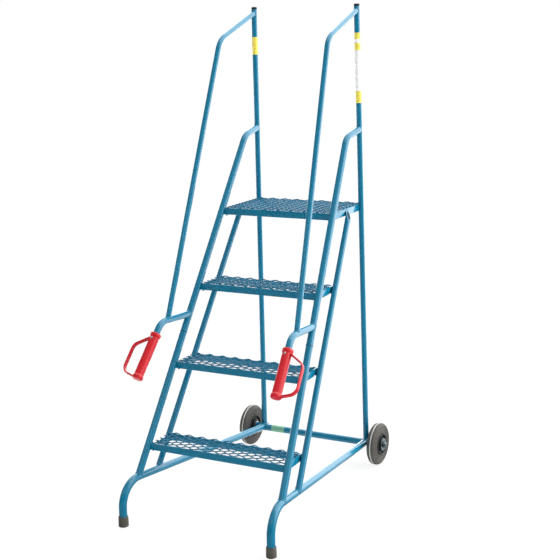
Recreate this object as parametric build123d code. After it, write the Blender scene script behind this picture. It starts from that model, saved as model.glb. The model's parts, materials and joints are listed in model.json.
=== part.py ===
from build123d import *
import math
import os

os.makedirs("parts", exist_ok=True)

# Mobile ladder stand: three treads and a platform carried by two welded tube sides, with a
# handrail and a tilting handle each side, two rubber feet in front and two wheels behind.
# Millimetres. X runs across the stand, +Y is the way the user climbs, Z is up. The pieces are
# set out with the rear posts at y = 0 and moved at the end so that the origin is the middle of
# the footprint, on the floor. Everything is drawn for the right-hand side (+X) and mirrored.

# ---------------------------------------------------------------- driving dimensions
riser = 254.0
tread_count = 3

post_half_span = 224.2
post_lean = 0.0066
post_above_platform = 722.0
post_diameter = 22.0
post_axis_inset = 0.2

base_diameter = 28.0
base_wall = 2.0
base_length = 899.0
base_toe_out = 0.0713
base_rise = 0.0882
base_rear_overhang = 14.0
base_bend_radius = 85.0
base_below_axle = 2.0

cross_diameter = 26.9
tube_wall = 1.5

front_stile_diameter = 25.4
front_stile_foot = 809.0
front_stile_forward_at_platform = 262.46
front_stile_bend_above_platform = 253.0
front_stile_bend_inset = 5.3
front_stile_rise_to_post = 20.0
front_stile_end_share = 0.4
front_stile_bend_radius = 60.0

rear_stile_diameter = 22.0
rear_stile_foot = 688.0
rear_stile_forward_at_platform = 112.25
rear_stile_inset = 1.0
rear_stile_tip_drop = 11.0
rear_stile_tip_length = 34.0

rail_diameter = 20.0
rail_drop_below_post_top = 13.0
rail_bend_forward = 255.0
rail_bend_drop = 95.0
rail_bend_outward = 4.5
rail_bend_radius = 75.0
rail_foot_forward = 621.0

handle_diameter = 25.0
handle_height = 659.0
handle_bend_forward = 172.0
handle_bend_rise = 9.0
handle_bend_outward = 7.0
handle_bend_radius = 55.0
handle_slope = 41.0
handle_splay = 0.055

grip_start = 48.0
grip_length = 175.0
grip_diameter = 33.0
grip_collar_diameter = 38.0
grip_collar_length = 14.0
grip_end_thickness = 6.0
grip_edge_ease = 2.0
grip_shoulder_ease = 3.0
grip_flange_length = 10.0
grip_flange_slope = 6.0
guard_reach_top = 69.0
guard_reach_bottom = 69.0
guard_top_root = 16.5
guard_top_corner = 53.0
guard_bottom_corner = 155.0
guard_bottom_root = 169.0
guard_bend_radius = 30.0
guard_width = 16.0
guard_thickness = 5.5
guard_corner_share = 0.45
guard_root_depth = 1.5

bar_height = 25.0
bar_thickness = 5.0
front_bar_drop = 1.0
deck_drop = 6.0
deck_thickness = 3.0
mesh_long_pitch = 53.0
mesh_short_pitch = 26.0
mesh_strand = 6.0
mesh_edge = 3.0

wheel_diameter = 160.0
wheel_mid_half_span = 278.0
axle_y = -10.0
tyre_width = 34.0
tyre_inner_diameter = 104.0
hub_disc_diameter = 84.0
hub_width = 42.0
hub_web = 10.0
hub_web_foot = 4.0
hub_web_flare = 6.0
hub_edge_ease = 2.0
hub_boss_diameter = 50.0
tyre_bead_depth = 4.0
tyre_bead_shoulder = 6.0
tyre_wall_flare = [(0.0, 2.0), (3.0, 0.5), (8.0, 0.0)]
tyre_shoulder_steps = [(18.0, 0.0), (17.0, 1.5), (14.0, 1.5), (13.0, 0.5), (8.0, 2.5), (4.0, 6.5),
                       (1.6, 11.0)]
tyre_seam_height = 1.0
tyre_seam_half_width = 1.2
bush_outer_diameter = 22.0
axle_diameter = 16.0
axle_root_gap = 2.0
axle_end_ease = 1.0
boss_diameter = 26.0
running_clearance = 0.05
side_clearance = 0.3
inner_washer_diameter = 32.0
inner_washer_thickness = 2.0
outer_washer_diameter = 48.0
outer_washer_thickness = 2.5
nut_across_flats = 24.0
nut_height = 8.5
axle_past_nut = 2.0

ferrule_height = 36.0
ferrule_diameter = 35.0
ferrule_floor = 6.0
ferrule_foot_ease = 1.5
ferrule_top_ease = 1.5

plug_head_height = 9.0
plug_crown = 2.0
plug_stem_length = 14.0
base_plug_head = 3.0
screw_below_grip_top = 21.6
screw_head_diameter = 7.0
screw_head_height = 1.6

# ---------------------------------------------------------------- lines of the frame
post_radius = post_diameter / 2
base_radius = base_diameter / 2
front_stile_radius = front_stile_diameter / 2
rear_stile_radius = rear_stile_diameter / 2
wheel_radius = wheel_diameter / 2
axle_height = wheel_radius
base_height_at_axle = axle_height - base_below_axle
platform_height = riser * (tread_count + 1)
post_height = platform_height + post_above_platform
front_stile_height = platform_height + front_stile_bend_above_platform


def post_point(z):
    """Point on the right rear post's centre line at height z: the posts lean in a little as they rise."""
    return Vector(post_half_span - post_lean * (z - base_height_at_axle), 0, z)


post_top = post_point(post_height)


def base_point(y):
    """Point on the right base tube's centre line, produced straight past its front bend."""
    x = post_half_span - post_axis_inset - base_toe_out * y
    z = base_height_at_axle + base_rise * (axle_y - y)
    return Vector(x, y, z)


front_stile_base = base_point(-front_stile_foot)
rear_stile_base = base_point(-rear_stile_foot)
front_stile_advance = front_stile_foot - front_stile_forward_at_platform
front_stile_run = front_stile_advance / (platform_height - front_stile_base.Z)
rear_stile_advance = rear_stile_foot - rear_stile_forward_at_platform
rear_stile_run = rear_stile_advance / (platform_height - rear_stile_base.Z)
front_stile_bend_x = post_point(front_stile_height).X - front_stile_bend_inset
stile_lean = (front_stile_base.X - front_stile_bend_x) / (front_stile_height - front_stile_base.Z)


def front_stile_point(z):
    """Point on the right front stile's centre line at height z."""
    rise = z - front_stile_base.Z
    return Vector(front_stile_base.X - stile_lean * rise, -front_stile_foot + front_stile_run * rise, z)


def front_stile_inner(z):
    return front_stile_point(z).X - front_stile_radius


def rear_stile_point(z):
    """Point on the right rear stile's centre line: its inner side is in line with the front one's."""
    x = front_stile_inner(z) + rear_stile_radius - rear_stile_inset
    return Vector(x, -rear_stile_foot + rear_stile_run * (z - rear_stile_base.Z), z)


# ---------------------------------------------------------------- shaping helpers
def rod(points, diameter, radius=0.0):
    """Solid round bar along straight runs joined by a bend."""
    if len(points) == 2:
        along = points[1] - points[0]
        return Solid.make_cylinder(diameter / 2, along.length, Plane(origin=points[0], z_dir=along))
    path = FilletPolyline(*points, radius=radius)
    section = Plane(origin=path @ 0, z_dir=path % 0) * Circle(diameter / 2)
    return sweep(section, path=path)


def tube(points, diameter, wall, radius=0.0):
    return rod(points, diameter, radius) - rod(points, diameter - 2 * wall, radius)


def turned(outline, origin, axis):
    """Solid of revolution: outline is (radius, distance along axis) points."""
    face = make_face(Polyline(*[(r, 0, d) for r, d in outline], close=True))
    solid = revolve(face, axis=Axis.Z)
    return Plane(origin=origin, z_dir=axis).location * solid


def block(low, high):
    size = Vector(*high) - Vector(*low)
    corner = Align.MIN, Align.MIN, Align.MIN
    return Pos(*low) * Box(size.X, size.Y, size.Z, align=corner)


def largest(shape):
    """The main solid of a trimmed shape, without the slivers that a trim may leave."""
    return max(shape.solids(), key=lambda solid: solid.volume)


# ---------------------------------------------------------------- base, posts and cross tube
foot_bottom = Vector(base_point(-base_length).X, -base_length, ferrule_floor)
base_route = [base_point(base_rear_overhang), base_point(-base_length), foot_bottom]
base_solid = rod(base_route, base_diameter, base_bend_radius)
base_tube = base_solid - rod(base_route, base_diameter - 2 * base_wall, base_bend_radius)

post_route = [post_point(base_point(0).Z), post_top]
post_solid = rod(post_route, post_diameter)
rear_post = largest(tube(post_route, post_diameter, tube_wall) - base_solid)

cross_end = base_point(axle_y)
cross_route = [Vector(0, axle_y, cross_end.Z), cross_end]
cross_half = largest(tube(cross_route, cross_diameter, tube_wall) - base_solid - post_solid)
rear_cross_tube = cross_half + mirror(cross_half, about=Plane.YZ)

base_back = base_point(base_rear_overhang)
base_axis = base_back - base_point(-base_length)
base_inner = base_radius - base_wall
base_end_plug = turned([(0, -plug_stem_length), (base_inner, -plug_stem_length), (base_inner, 0),
                        (base_radius, 0), (base_radius, base_plug_head / 2),
                        (base_radius - base_plug_head / 2, base_plug_head), (0, base_plug_head)],
                       base_back, base_axis)

post_inner = post_radius - tube_wall
post_plug = turned([(0, -plug_stem_length), (post_inner, -plug_stem_length), (post_inner, 0),
                    (post_radius, 0), (post_radius, plug_head_height - 2 * plug_crown),
                    (post_radius - plug_crown, plug_head_height - plug_crown / 2),
                    (post_radius / 2, plug_head_height), (0, plug_head_height)],
                   post_top, post_top - post_route[0])

ferrule_radius = ferrule_diameter / 2
ferrule = turned([(0, 0), (ferrule_radius - ferrule_foot_ease, 0), (ferrule_radius, ferrule_foot_ease),
                  (ferrule_radius, ferrule_height - ferrule_top_ease),
                  (ferrule_radius - ferrule_top_ease, ferrule_height),
                  (base_radius, ferrule_height), (base_radius, ferrule_floor), (0, ferrule_floor)],
                 Vector(foot_bottom.X, foot_bottom.Y, 0), Vector(0, 0, 1))

# ---------------------------------------------------------------- treads and platform
deck_levels = [("bottom_tread", riser), ("middle_tread", 2 * riser), ("top_tread", 3 * riser),
               ("platform", platform_height)]


def mesh_panel(half_width, front, back, bottom):
    """Deck with staggered diamond openings, drawn flat: the strands run at the mesh's own pitch."""
    long_half = mesh_long_pitch / 2
    short_half = mesh_short_pitch / 2
    strand_share = mesh_strand * math.hypot(mesh_long_pitch, mesh_short_pitch) / (
        mesh_long_pitch * mesh_short_pitch)
    hole_long = long_half * (1 - strand_share)
    hole_short = short_half * (1 - strand_share)
    columns = int(half_width // mesh_long_pitch) + 1
    rows = int((back - front) // short_half) + 1
    holes = []
    for row in range(rows):
        y = front + mesh_edge + hole_short + row * short_half
        shift = long_half if row % 2 else 0.0
        for column in range(-columns, columns + 1):
            x = column * mesh_long_pitch + shift
            if abs(x) + hole_long < half_width - mesh_edge and y + hole_short < back - mesh_edge:
                holes.append(Pos(x, y) * Polygon((-hole_long, 0), (0, -hole_short), (hole_long, 0),
                                                 (0, hole_short), align=None))
    sheet = Pos(0, (front + back) / 2) * Rectangle(2 * half_width, back - front)
    return Pos(0, 0, bottom) * extrude(sheet - holes, amount=deck_thickness)


def deck_pieces(level, side_half, front_face, back_centre, front_half, back_half, tubes):
    """Front bar, rear bar, pair of side bars and deck of one tread or of the platform."""
    front_back = front_face + bar_thickness
    rear_front = back_centre - bar_thickness / 2
    rear_back = back_centre + bar_thickness / 2
    under_deck = level - deck_drop
    front_top = level - front_bar_drop
    front_bar = block((-front_half, front_face, front_top - bar_height), (front_half, front_back, front_top))
    rear_bar = block((-back_half, rear_front, under_deck - bar_height), (back_half, rear_back, under_deck))
    side_bar = block((side_half - bar_thickness, front_back, under_deck - bar_height),
                     (side_half, rear_front, under_deck))
    deck = mesh_panel(side_half, front_back, rear_back, under_deck)
    both_tubes = tubes + [mirror(one, about=Plane.YZ) for one in tubes]
    front_bar = largest(front_bar - both_tubes)
    rear_bar = largest(rear_bar - both_tubes)
    deck = largest(deck - both_tubes)
    side_bar = largest(side_bar - tubes)
    return front_bar, rear_bar, [side_bar, mirror(side_bar, about=Plane.YZ)], deck


# ---------------------------------------------------------------- stiles
front_stile_bend = front_stile_point(front_stile_height)
upper_run_height = front_stile_height + front_stile_rise_to_post
front_stile_end = post_point(upper_run_height) - Vector(0, post_radius * front_stile_end_share, 0)
front_stile_route = [front_stile_base, front_stile_bend, front_stile_end]
front_stile_solid = rod(front_stile_route, front_stile_diameter, front_stile_bend_radius)
front_stile_bore = rod(front_stile_route, front_stile_diameter - 2 * tube_wall, front_stile_bend_radius)
front_stile = largest(front_stile_solid - front_stile_bore - base_solid - post_solid)

platform_side = front_stile_inner(platform_height - deck_drop)
rear_tip_height = platform_height - rear_stile_tip_drop
rear_route = [rear_stile_point(rear_stile_base.Z), rear_stile_point(platform_height + rear_stile_tip_length)]
bore_stop = [rear_route[0], rear_stile_point(rear_tip_height - 2 * rear_stile_tip_length)]
rear_stile_solid = rod(rear_route, rear_stile_diameter)
tip_y = rear_stile_point(rear_tip_height).Y
tip_cut_depth = 2 * rear_stile_diameter
tip_fall = math.degrees(math.atan2(rear_stile_tip_length, rear_stile_diameter))
tip_cutter = Pos(platform_side, tip_y, rear_tip_height) * Rot(0, tip_fall, 0) * Pos(
    tip_cut_depth, 0, tip_cut_depth) * Box(4 * tip_cut_depth, 8 * tip_cut_depth, 2 * tip_cut_depth)
plate_side_cutter = block((platform_side - tip_cut_depth, tip_y - 4 * tip_cut_depth, rear_tip_height
                           - 4 * tip_cut_depth),
                          (platform_side, tip_y + 4 * tip_cut_depth, rear_tip_height + 4 * tip_cut_depth))
rear_stile_body = rear_stile_solid - rod(bore_stop, rear_stile_diameter - 2 * tube_wall)
rear_stile = largest(rear_stile_body - base_solid - tip_cutter - plate_side_cutter)

decks = {}
for name, level in deck_levels:
    bar_middle = level - front_bar_drop - bar_height / 2
    front_face = front_stile_point(bar_middle).Y
    front_half = front_stile_point(bar_middle).X
    if level < platform_height:
        side_half = min(front_stile_inner(level), rear_stile_point(level).X - rear_stile_radius)
        back_centre = rear_stile_point(level - deck_drop - bar_height / 2).Y
        back_half = rear_stile_point(level - deck_drop - bar_height / 2).X
        tubes = [front_stile_solid, rear_stile_solid]
    else:
        side_half = platform_side
        back_centre = 0.0
        back_half = post_point(level).X
        tubes = [front_stile_solid, post_solid]
    decks[name] = deck_pieces(level, side_half, front_face, back_centre, front_half, back_half, tubes)

# ---------------------------------------------------------------- handle tube and handrail
handle_root = front_stile_point(handle_height)
handle_bend = handle_root + Vector(handle_bend_outward, -handle_bend_forward, handle_bend_rise)
slope = math.radians(handle_slope)
grip_axis = Vector(handle_splay, -math.sin(slope), -math.cos(slope)).normalized()
grip_top = handle_bend + grip_axis * grip_start
handle_end = grip_top + grip_axis * (grip_length - grip_end_thickness)
handle_route = [handle_root, handle_bend, handle_end]
handle_solid = rod(handle_route, handle_diameter, handle_bend_radius)
handle_bore = rod(handle_route, handle_diameter - 2 * tube_wall, handle_bend_radius)
handle_tube = largest(handle_solid - handle_bore - front_stile_solid)

rail_top = post_point(post_height - rail_drop_below_post_top)
rail_bend = rail_top + Vector(rail_bend_outward, -rail_bend_forward, -rail_bend_drop)
run_share = (rail_foot_forward + handle_root.Y) / handle_bend_forward
rail_foot = handle_root + (handle_bend - handle_root) * run_share
rail_route = [rail_top, rail_bend, rail_foot]
rail_solid = rod(rail_route, rail_diameter, rail_bend_radius)
rail_bore = rod(rail_route, rail_diameter - 2 * tube_wall, rail_bend_radius)
handrail = largest(rail_solid - rail_bore - post_solid - handle_solid)

# ---------------------------------------------------------------- grip with its knuckle guard
grip_plane = Plane(origin=grip_top, x_dir=Vector(1, 0, 0), z_dir=grip_axis)
grip_radius = grip_diameter / 2
collar_radius = grip_collar_diameter / 2
handle_radius = handle_diameter / 2
flange_start = grip_length - grip_flange_length
grip_outline = [(handle_radius, 0), (collar_radius - grip_edge_ease, 0), (collar_radius, grip_edge_ease),
                (collar_radius, grip_collar_length - grip_shoulder_ease), (grip_radius, grip_collar_length),
                (grip_radius, flange_start - grip_flange_slope), (collar_radius, flange_start),
                (collar_radius, grip_length - grip_shoulder_ease),
                (collar_radius - grip_shoulder_ease, grip_length), (0, grip_length),
                (0, grip_length - grip_end_thickness), (handle_radius, grip_length - grip_end_thickness)]
grip_body = revolve(make_face(Polyline(*[(r, 0, d) for r, d in grip_outline], close=True)), axis=Axis.Z)
guard_root = handle_radius + guard_root_depth
guard_path = FilletPolyline((guard_root, 0, guard_top_root), (guard_reach_top, 0, guard_top_corner),
                            (guard_reach_bottom, 0, guard_bottom_corner),
                            (guard_root, 0, guard_bottom_root), radius=guard_bend_radius)
guard_plane = Plane(origin=guard_path @ 0, x_dir=Vector(0, 1, 0), z_dir=guard_path % 0)
guard_section = guard_plane * RectangleRounded(
    guard_width, guard_thickness, guard_thickness * guard_corner_share)
guard = sweep(guard_section, path=guard_path)
grip_local = grip_body + (guard - Cylinder((handle_radius + guard_root) / 2, 4 * grip_length))
grip = grip_plane.location * largest(grip_local)
screw_local = Pos(0, grip_radius, screw_below_grip_top) * Rot(-90, 0, 0) * Cylinder(
    screw_head_diameter / 2, screw_head_height, align=(Align.CENTER, Align.CENTER, Align.MIN))
grip_screw = grip_plane.location * screw_local - grip

# ---------------------------------------------------------------- wheel and its axle
hub_inner_x = wheel_mid_half_span - hub_width / 2
hub_outer_x = wheel_mid_half_span + hub_width / 2
axle_radius = axle_diameter / 2
boss_end_x = hub_inner_x - side_clearance - inner_washer_thickness
outboard = Vector(1, 0, 0)


def on_axle(x):
    return Vector(x, axle_y, axle_height)


def ring(inner_radius, outer_radius, x_start, x_end):
    return turned([(inner_radius, 0), (outer_radius, 0), (outer_radius, x_end - x_start),
                   (inner_radius, x_end - x_start)], on_axle(x_start), outboard)


axle_start_x = base_point(axle_y).X + base_radius + axle_root_gap
outer_washer_x = hub_outer_x + side_clearance
nut_x = outer_washer_x + outer_washer_thickness
axle_end_x = nut_x + nut_height + axle_past_nut
boss_rod = rod([on_axle(base_point(axle_y).X), on_axle(boss_end_x)], boss_diameter)
boss_bore = rod([on_axle(post_half_span - boss_diameter), on_axle(boss_end_x + 1)], axle_diameter)
axle_boss = largest(boss_rod - boss_bore - base_solid - post_solid)
axle_length = axle_end_x - axle_start_x
axle = turned([(0, 0), (axle_radius, 0), (axle_radius, axle_length - axle_end_ease),
               (axle_radius - axle_end_ease, axle_length), (0, axle_length)],
              on_axle(axle_start_x), outboard)
inner_washer = ring(axle_radius, inner_washer_diameter / 2, boss_end_x, boss_end_x + inner_washer_thickness)
outer_washer = ring(axle_radius, outer_washer_diameter / 2, outer_washer_x, nut_x)
nut_blank = Plane(origin=on_axle(nut_x), z_dir=outboard).location * extrude(
    RegularPolygon(nut_across_flats / 2, 6, major_radius=False), amount=nut_height)
axle_nut = nut_blank - rod([on_axle(nut_x - 1), on_axle(nut_x + nut_height + 1)], axle_diameter)

bush_bore = axle_radius + running_clearance
bush_radius = bush_outer_diameter / 2
half_hub = hub_width / 2
half_tyre = tyre_width / 2
half_web = hub_web / 2
rim_radius = tyre_inner_diameter / 2
disc_radius = hub_disc_diameter / 2
boss_radius = hub_boss_diameter / 2
hub_half_outline = [(bush_radius, half_hub), (boss_radius - hub_edge_ease, half_hub),
                    (boss_radius, half_hub - hub_edge_ease), (boss_radius, half_web + hub_web_flare),
                    (disc_radius, half_web + hub_web_foot), (disc_radius, half_tyre - tyre_bead_depth),
                    (rim_radius, half_tyre - tyre_bead_shoulder)]
hub = turned(hub_half_outline + [(r, -d) for r, d in reversed(hub_half_outline)],
             on_axle(wheel_mid_half_span), outboard)
bush = ring(bush_bore, bush_radius, hub_inner_x, hub_outer_x)


def tyre_outline():
    """Half section of the tyre from its bead to the seam round its tread, mirrored to the other side."""
    half = [(rim_radius, half_tyre - tyre_bead_shoulder), (disc_radius, half_tyre - tyre_bead_depth)]
    half += [(disc_radius + out, half_tyre - inset) for out, inset in tyre_wall_flare]
    half += [(wheel_radius - down, half_tyre - inset) for down, inset in tyre_shoulder_steps]
    half += [(wheel_radius - tyre_seam_height, 2 * tyre_seam_half_width)]
    half += [(wheel_radius, tyre_seam_half_width)]
    return half + [(r, -d) for r, d in reversed(half)]


tyre = turned(tyre_outline(), on_axle(wheel_mid_half_span), outboard)

# ---------------------------------------------------------------- sides, origin and export
front_edge = -base_length - ferrule_radius
back_edge = axle_y + wheel_radius
to_origin = Pos(0, -(front_edge + back_edge) / 2, 0)

two_sided = {
    "base_tube": base_tube, "rear_post": rear_post, "front_stile": front_stile, "rear_stile": rear_stile,
    "handrail": handrail, "handle_tube": handle_tube, "axle_boss": axle_boss, "axle": axle,
    "foot_ferrule": ferrule, "post_plug": post_plug, "grip": grip, "tyre": tyre, "hub": hub,
    "hub_bush": bush,
}
paired = {
    "base_end_plugs": base_end_plug, "grip_screws": grip_screw, "inner_washers": inner_washer,
    "outer_washers": outer_washer, "axle_nuts": axle_nut,
}
nodes = {"rear_cross_tube": rear_cross_tube}
for name, shape in two_sided.items():
    nodes[name + "_right"] = shape
    nodes[name + "_left"] = mirror(shape, about=Plane.YZ)
for name, shape in paired.items():
    nodes[name] = Compound(children=[largest(shape), largest(mirror(shape, about=Plane.YZ))])
for name, (front_bar, rear_bar, side_bars, deck) in decks.items():
    nodes[name + "_front_bar"] = front_bar
    nodes[name + "_rear_bar"] = rear_bar
    nodes[name + "_side_bars"] = Compound(children=side_bars)
    nodes[name + "_deck"] = deck

for name, shape in nodes.items():
    export_step(to_origin * shape, "parts/" + name + ".step")
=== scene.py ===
import json
import math

import bmesh
import bpy
from mathutils import Matrix, Vector
from mathutils.bvhtree import BVHTree
from mathutils.geometry import convex_hull_2d


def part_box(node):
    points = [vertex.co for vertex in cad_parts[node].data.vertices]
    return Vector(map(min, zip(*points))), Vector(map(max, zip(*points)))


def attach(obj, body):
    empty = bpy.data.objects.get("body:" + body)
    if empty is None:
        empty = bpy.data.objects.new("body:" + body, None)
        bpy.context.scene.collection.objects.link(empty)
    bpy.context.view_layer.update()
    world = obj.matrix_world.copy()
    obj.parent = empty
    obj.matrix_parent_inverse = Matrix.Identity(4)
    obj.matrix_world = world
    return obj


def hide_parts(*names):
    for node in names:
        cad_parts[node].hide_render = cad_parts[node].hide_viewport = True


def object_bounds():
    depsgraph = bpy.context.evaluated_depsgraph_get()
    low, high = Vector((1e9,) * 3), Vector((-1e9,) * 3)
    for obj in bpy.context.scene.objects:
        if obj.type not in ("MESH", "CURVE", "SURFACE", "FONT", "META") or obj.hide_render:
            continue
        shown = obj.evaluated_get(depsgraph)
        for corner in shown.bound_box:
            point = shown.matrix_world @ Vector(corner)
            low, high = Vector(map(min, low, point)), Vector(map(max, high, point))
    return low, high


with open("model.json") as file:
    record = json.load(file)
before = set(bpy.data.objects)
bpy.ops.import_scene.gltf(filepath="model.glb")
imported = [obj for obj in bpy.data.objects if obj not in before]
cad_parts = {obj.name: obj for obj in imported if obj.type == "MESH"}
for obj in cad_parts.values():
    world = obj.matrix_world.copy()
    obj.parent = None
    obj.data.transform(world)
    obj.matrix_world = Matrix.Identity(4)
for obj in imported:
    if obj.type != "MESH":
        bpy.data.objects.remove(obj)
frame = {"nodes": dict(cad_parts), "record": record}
cad_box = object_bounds()
nodes = frame["nodes"]
MM = 0.001
SIDES = (("left", -1.0), ("right", 1.0))


# ---------------------------------------------------------------- places read from the frame
def centre(node):
    low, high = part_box(node)
    return (low + high) / 2


def size(node):
    low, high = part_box(node)
    return high - low


# ---------------------------------------------------------------- material helpers
def new_group(name, inputs, outputs):
    group = bpy.data.node_groups.new(name, "ShaderNodeTree")
    for label, kind, value in inputs:
        socket = group.interface.new_socket(label, in_out="INPUT", socket_type=kind)
        socket.default_value = value
    for label, kind in outputs:
        group.interface.new_socket(label, in_out="OUTPUT", socket_type=kind)
    start = group.nodes.new("NodeGroupInput")
    end = group.nodes.new("NodeGroupOutput")
    return group, start, end


def add(tree, kind, links=None, **values):
    """A node of that kind: values sets its properties, links its inputs by name or number."""
    node = tree.nodes.new(kind)
    for label, value in values.items():
        setattr(node, label, value)
    for label, source in (links or {}).items():
        if isinstance(source, bpy.types.NodeSocket):
            tree.links.new(source, node.inputs[label])
        else:
            node.inputs[label].default_value = source
    return node


def noise(tree, vector, scale, detail=2.0, roughness=0.5):
    """Noise value at that place."""
    links = {"Vector": vector, "Scale": scale, "Detail": detail, "Roughness": roughness}
    return add(tree, "ShaderNodeTexNoise", links).outputs["Fac"]


def spread(tree, value, low, high, to_low, to_high):
    """The value carried from the range low to high onto the range to_low to to_high."""
    links = {"Value": value, "From Min": low, "From Max": high, "To Min": to_low, "To Max": to_high}
    return add(tree, "ShaderNodeMapRange", links).outputs["Result"]


def build_mottle_group():
    """Broad and fine variation of a finish: a colour a little lighter or darker, and a roughness mask."""
    inputs = [("Vector", "NodeSocketVector", (0, 0, 0)), ("Colour", "NodeSocketColor", (0.5, 0.5, 0.5, 1)),
              ("Broad Scale", "NodeSocketFloat", 6.0), ("Fine Scale", "NodeSocketFloat", 60.0),
              ("Amount", "NodeSocketFloat", 0.1), ("Rough Low", "NodeSocketFloat", 0.3),
              ("Rough High", "NodeSocketFloat", 0.4)]
    group, start, end = new_group("finish_mottle", inputs,
                                  [("Colour", "NodeSocketColor"), ("Roughness", "NodeSocketFloat")])
    broad = noise(group, start.outputs["Vector"], start.outputs["Broad Scale"], 3.0)
    fine = noise(group, start.outputs["Vector"], start.outputs["Fine Scale"], 4.0)
    mixed = add(group, "ShaderNodeMath", {0: broad, 1: fine}, operation="ADD").outputs[0]
    centred = add(group, "ShaderNodeMath", {0: mixed, 1: 1.0}, operation="SUBTRACT").outputs[0]
    share = add(group, "ShaderNodeMath", {0: centred, 1: start.outputs["Amount"]},
                operation="MULTIPLY").outputs[0]
    bright = add(group, "ShaderNodeMath", {0: share, 1: 1.0}, operation="ADD").outputs[0]
    colour = add(group, "ShaderNodeHueSaturation",
                 {"Value": bright, "Color": start.outputs["Colour"]}).outputs["Color"]
    rough = add(group, "ShaderNodeMapRange", {"Value": fine, "From Min": 0.3, "From Max": 0.7,
                                              "To Min": start.outputs["Rough Low"],
                                              "To Max": start.outputs["Rough High"]}).outputs["Result"]
    group.links.new(colour, end.inputs["Colour"])
    group.links.new(rough, end.inputs["Roughness"])
    return group


def build_skin_group():
    """Fine surface relief, from orange peel to moulded grain, as a normal."""
    inputs = [("Vector", "NodeSocketVector", (0, 0, 0)), ("Scale", "NodeSocketFloat", 300.0),
              ("Fine Scale", "NodeSocketFloat", 1500.0), ("Height", "NodeSocketFloat", 0.0002),
              ("Strength", "NodeSocketFloat", 0.2)]
    group, start, end = new_group("surface_skin", inputs, [("Normal", "NodeSocketVector")])
    peel = noise(group, start.outputs["Vector"], start.outputs["Scale"], 1.0)
    grain = noise(group, start.outputs["Vector"], start.outputs["Fine Scale"], 2.0)
    grain_share = add(group, "ShaderNodeMath", {0: grain, 1: 0.35}, operation="MULTIPLY").outputs[0]
    height = add(group, "ShaderNodeMath", {0: peel, 1: grain_share}, operation="ADD").outputs[0]
    bump = add(group, "ShaderNodeBump", {"Strength": start.outputs["Strength"],
                                         "Distance": start.outputs["Height"], "Height": height})
    group.links.new(bump.outputs["Normal"], end.inputs["Normal"])
    return group


def build_wear_group():
    """Paler colour along worn edges: a mask from the mesh's pointiness, broken up by noise."""
    inputs = [("Vector", "NodeSocketVector", (0, 0, 0)), ("Colour", "NodeSocketColor", (0.5, 0.5, 0.5, 1)),
              ("Worn Colour", "NodeSocketColor", (0.8, 0.8, 0.8, 1)), ("Scale", "NodeSocketFloat", 90.0),
              ("Edge", "NodeSocketFloat", 0.3)]
    group, start, end = new_group("edge_wear", inputs, [("Colour", "NodeSocketColor")])
    geometry = add(group, "ShaderNodeNewGeometry")
    edge = spread(group, geometry.outputs["Pointiness"], 0.52, 0.62, 0.0, 1.0)
    patchy = spread(group, noise(group, start.outputs["Vector"], start.outputs["Scale"], 4.0), 0.4, 0.7, 0.0, 1.0)
    worn = add(group, "ShaderNodeMath", {0: edge, 1: patchy}, operation="MULTIPLY").outputs[0]
    share = add(group, "ShaderNodeMath", {0: worn, 1: start.outputs["Edge"]}, operation="MULTIPLY").outputs[0]
    mix = add(group, "ShaderNodeMix", data_type="RGBA")
    group.links.new(share, mix.inputs[0])
    group.links.new(start.outputs["Colour"], mix.inputs[6])
    group.links.new(start.outputs["Worn Colour"], mix.inputs[7])
    group.links.new(mix.outputs[2], end.inputs["Colour"])
    return group


MOTTLE = build_mottle_group()
SKIN = build_skin_group()
WEAR = build_wear_group()


def finish_material(name, colour, mottle, skin, wear=None, **principled):
    """Principled material whose colour, roughness and relief come from the shared groups."""
    material = bpy.data.materials.new(name)
    material.use_nodes = True
    tree = material.node_tree
    shader = tree.nodes["Principled BSDF"]
    place = add(tree, "ShaderNodeTexCoord").outputs["Object"]
    base = add(tree, "ShaderNodeGroup", node_tree=MOTTLE)
    tree.links.new(place, base.inputs["Vector"])
    base.inputs["Colour"].default_value = (*colour, 1)
    for label, value in mottle.items():
        base.inputs[label].default_value = value
    shade = base.outputs["Colour"]
    if wear:
        worn = add(tree, "ShaderNodeGroup", node_tree=WEAR)
        tree.links.new(place, worn.inputs["Vector"])
        tree.links.new(shade, worn.inputs["Colour"])
        for label, value in wear.items():
            worn.inputs[label].default_value = value
        shade = worn.outputs["Colour"]
    relief = add(tree, "ShaderNodeGroup", node_tree=SKIN)
    tree.links.new(place, relief.inputs["Vector"])
    for label, value in skin.items():
        relief.inputs[label].default_value = value
    tree.links.new(shade, shader.inputs["Base Color"])
    tree.links.new(base.outputs["Roughness"], shader.inputs["Roughness"])
    tree.links.new(relief.outputs["Normal"], shader.inputs["Normal"])
    for label, value in principled.items():
        shader.inputs[label.replace("_", " ")].default_value = value
    return material


# ---------------------------------------------------------------- finishes
ZINC_GREY = (0.56, 0.58, 0.6)
BLUE = (0.003, 0.168, 0.285)

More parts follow.
